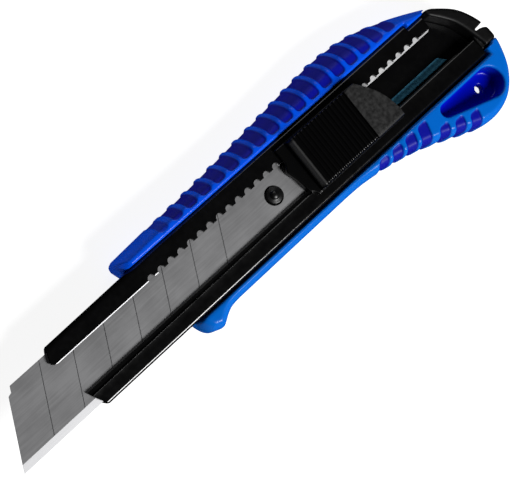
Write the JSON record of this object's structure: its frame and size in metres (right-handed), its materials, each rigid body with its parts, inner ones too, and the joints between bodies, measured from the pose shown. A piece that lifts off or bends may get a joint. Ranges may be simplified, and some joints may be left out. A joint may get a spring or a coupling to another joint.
{
  "type": "snap-off utility knife",
  "caption": "Snap-off utility knife: a scored blade rides in a toothed steel rail inside a ribbed moulded grip, moved by a self-locking thumb slider, with a pull-off end cap.",
  "frame": {"origin": "on the resting plane, under the middle of the knife's bounding box, blade as far out as at rest", "axes": "+X from the blade tip towards the tail, +Y from the cutting edge towards the blade's back, +Z out of the open face of the rail, where the thumb slider stands"},
  "size_m": [0.1746, 0.0448, 0.0165],
  "materials": {
    "grip_blue": "semi-gloss moulded",
    "cap_black": "satin moulded",
    "rail_black": "gloss black with bright cut edges",
    "blade_steel": "ground, with a bright honed bevel",
    "slider_black": "satin moulded, grained rear pad",
    "carrier_black": "satin moulded",
    "pin_black": "gloss black",
    "spring_steel": "plain",
    "strip_blued": "blued"
  },
  "bodies": {
    "grip": {"grip_body": "grip_blue", "guide_rail": "rail_black", "floor_strip": "strip_blued"},
    "slide": {"blade": "blade_steel", "blade_carrier": "carrier_black", "blade_pin": "pin_black", "thumb_slider": "slider_black"},
    "lock": {"lock_spring": "spring_steel"},
    "cap": {"end_cap": "cap_black"}
  },
  "joints": [
    {"name": "slider_travel", "type": "slide", "parent": "grip", "child": "slide", "axis": [1, 0, 0], "range_m": [-0.05483, 0.02742]},
    {"name": "lock_press", "type": "slide", "parent": "slide", "child": "lock", "axis": [0, -1, 0], "range_m": [0, 0.0014], "stiffness_N_per_m": 600, "springref_m": -0.0005},
    {"name": "cap_pull", "type": "slide", "parent": "grip", "child": "cap", "axis": [1, 0, 0], "range_m": [0, 0.022]}
  ]
}
